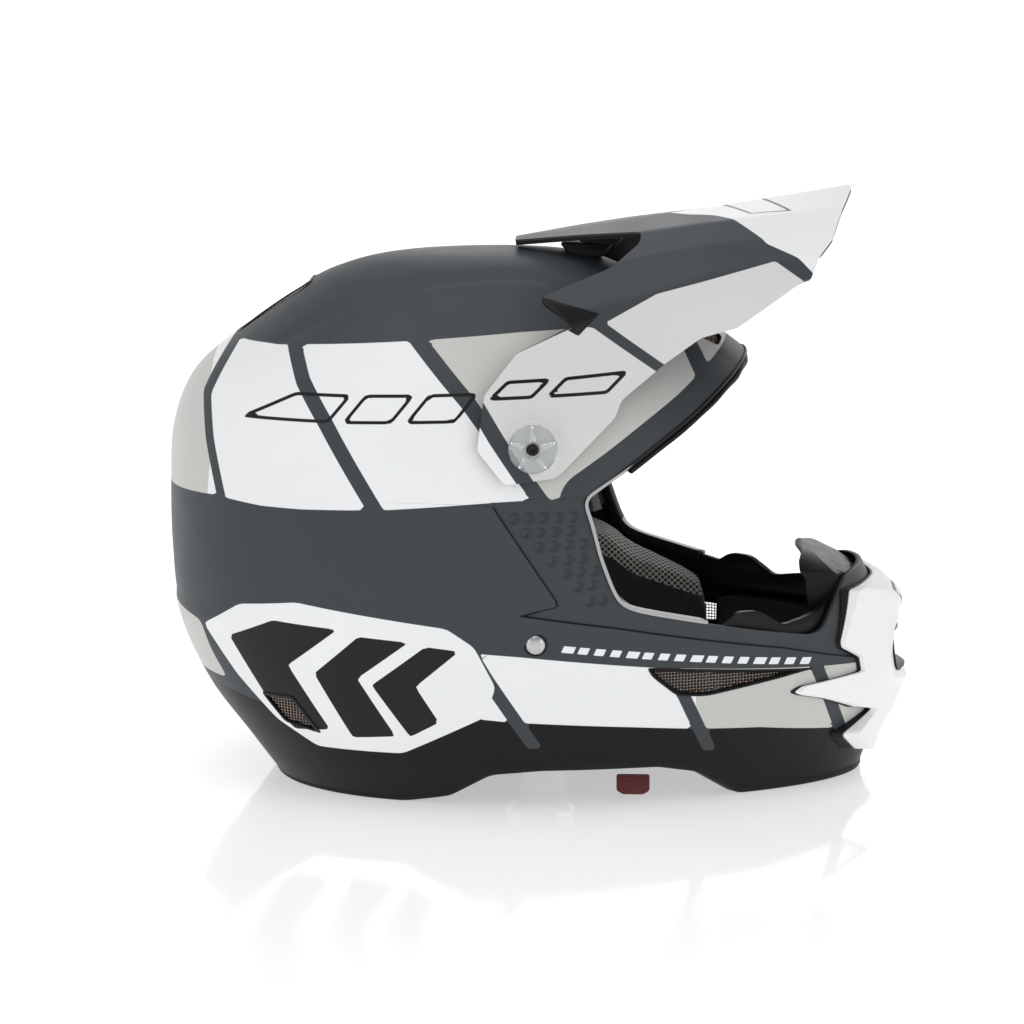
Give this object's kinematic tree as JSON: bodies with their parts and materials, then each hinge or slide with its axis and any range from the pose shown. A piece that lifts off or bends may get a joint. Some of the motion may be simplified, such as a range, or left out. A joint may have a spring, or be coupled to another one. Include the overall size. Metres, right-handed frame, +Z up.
{
  "type": "motocross helmet",
  "caption": "Motocross helmet with a tilting peak, open eyeport, vented chin bar, damped double liner, pull-out cheek pads and a double-ring chin strap.",
  "frame": {"origin": "midway along the helmet's overall length and width, on the surface that its lower edge rests on", "axes": "+X the way the wearer faces, +Y to the wearer's left, +Z up"},
  "size_m": [0.3669, 0.2682, 0.2917],
  "materials": {
    "shell_paint": "satin slate grey paint with white and pale grey graphics over a moulded composite",
    "peak_paint": "satin slate grey and pale grey moulded plastic with a white tip",
    "guard_paint": "white moulded plastic",
    "edge_rubber": "matt dark rubber edging",
    "black_plastic": "fine-grained black moulded plastic",
    "vent_mesh": "woven steel wire mesh",
    "black_foam": "black expanded foam",
    "pale_foam": "pale expanded foam",
    "damper_rubber": "soft moulded elastomer",
    "liner_fabric": "brushed moisture-wicking fabric over foam",
    "pad_fabric": "black fabric with a grey spacer-mesh face",
    "tab_webbing": "red woven tab",
    "strap_webbing": "flat woven webbing",
    "bare_steel": "bright plated steel",
    "clear_screw": "clear moulded polycarbonate"
  },
  "bodies": {
    "helmet": {"outer_shell": "shell_paint", "chin_guard": "guard_paint", "base_trim": "edge_rubber", "eyeport_trim": "edge_rubber", "mouthpiece": "black_plastic", "peak_nut_right": "black_plastic", "peak_nut_left": "black_plastic", "mouth_vent_mesh": "vent_mesh", "chin_intake_mesh_right": "vent_mesh", "chin_intake_mesh_left": "vent_mesh", "rear_exhaust_mesh_right": "vent_mesh", "rear_exhaust_mesh_left": "vent_mesh", "brow_vent_mesh_right": "vent_mesh", "brow_vent_mesh_left": "vent_mesh", "rear_port_mesh": "vent_mesh", "outer_foam_liner": "black_foam", "chin_bar_liner": "black_foam", "inner_foam_liner": "pale_foam", "liner_damper_1": "damper_rubber", "liner_damper_2": "damper_rubber", "liner_damper_3": "damper_rubber", "liner_damper_4": "damper_rubber", "liner_damper_5": "damper_rubber", "liner_damper_6": "damper_rubber", "liner_damper_7": "damper_rubber", "liner_damper_8": "damper_rubber", "liner_damper_9": "damper_rubber", "liner_damper_10": "damper_rubber", "liner_damper_11": "damper_rubber", "liner_damper_12": "damper_rubber", "comfort_liner": "liner_fabric", "neck_roll": "liner_fabric", "chin_skirt": "liner_fabric", "strap_rivet_right": "bare_steel", "strap_rivet_left": "bare_steel", "guard_screw_right": "bare_steel", "guard_screw_left": "bare_steel"},
    "peak": {"peak": "peak_paint"},
    "peak_screw_right": {"peak_screw_right": "clear_screw"},
    "peak_screw_left": {"peak_screw_left": "clear_screw"},
    "chin_strap": {"strap_long": "strap_webbing", "strap_short": "strap_webbing", "d_ring_upper": "bare_steel", "d_ring_lower": "bare_steel", "strap_anchor_plate_right": "bare_steel", "strap_anchor_plate_left": "bare_steel"},
    "cheek_pad_right": {"cheek_pad_right": "pad_fabric", "release_tab_right": "tab_webbing"},
    "cheek_pad_left": {"cheek_pad_left": "pad_fabric", "release_tab_left": "tab_webbing"}
  },
  "joints": [
    {"name": "peak_tilt", "type": "hinge", "parent": "helmet", "child": "peak", "pos_m": [0.001, 0, 0.178], "axis": [0, 1, 0], "range_deg": [-3, 5]},
    {"name": "peak_screw_right_turn", "type": "hinge", "parent": "helmet", "child": "peak_screw_right", "pos_m": [0.001, 0, 0.178], "axis": [0, -1, 0], "continuous": true},
    {"name": "peak_screw_left_turn", "type": "hinge", "parent": "helmet", "child": "peak_screw_left", "pos_m": [0.001, 0, 0.178], "axis": [0, 1, 0], "continuous": true},
    {"name": "chin_strap_swing", "type": "hinge", "parent": "helmet", "child": "chin_strap", "pos_m": [0.002, 0, 0.083], "axis": [0, 1, 0], "range_deg": [-12, 12]},
    {"name": "cheek_pad_right_release", "type": "slide", "parent": "helmet", "child": "cheek_pad_right", "axis": [0, 1, 0], "range_m": [0, 0.02]},
    {"name": "cheek_pad_left_release", "type": "slide", "parent": "helmet", "child": "cheek_pad_left", "axis": [0, -1, 0], "range_m": [0, 0.02]}
  ]
}
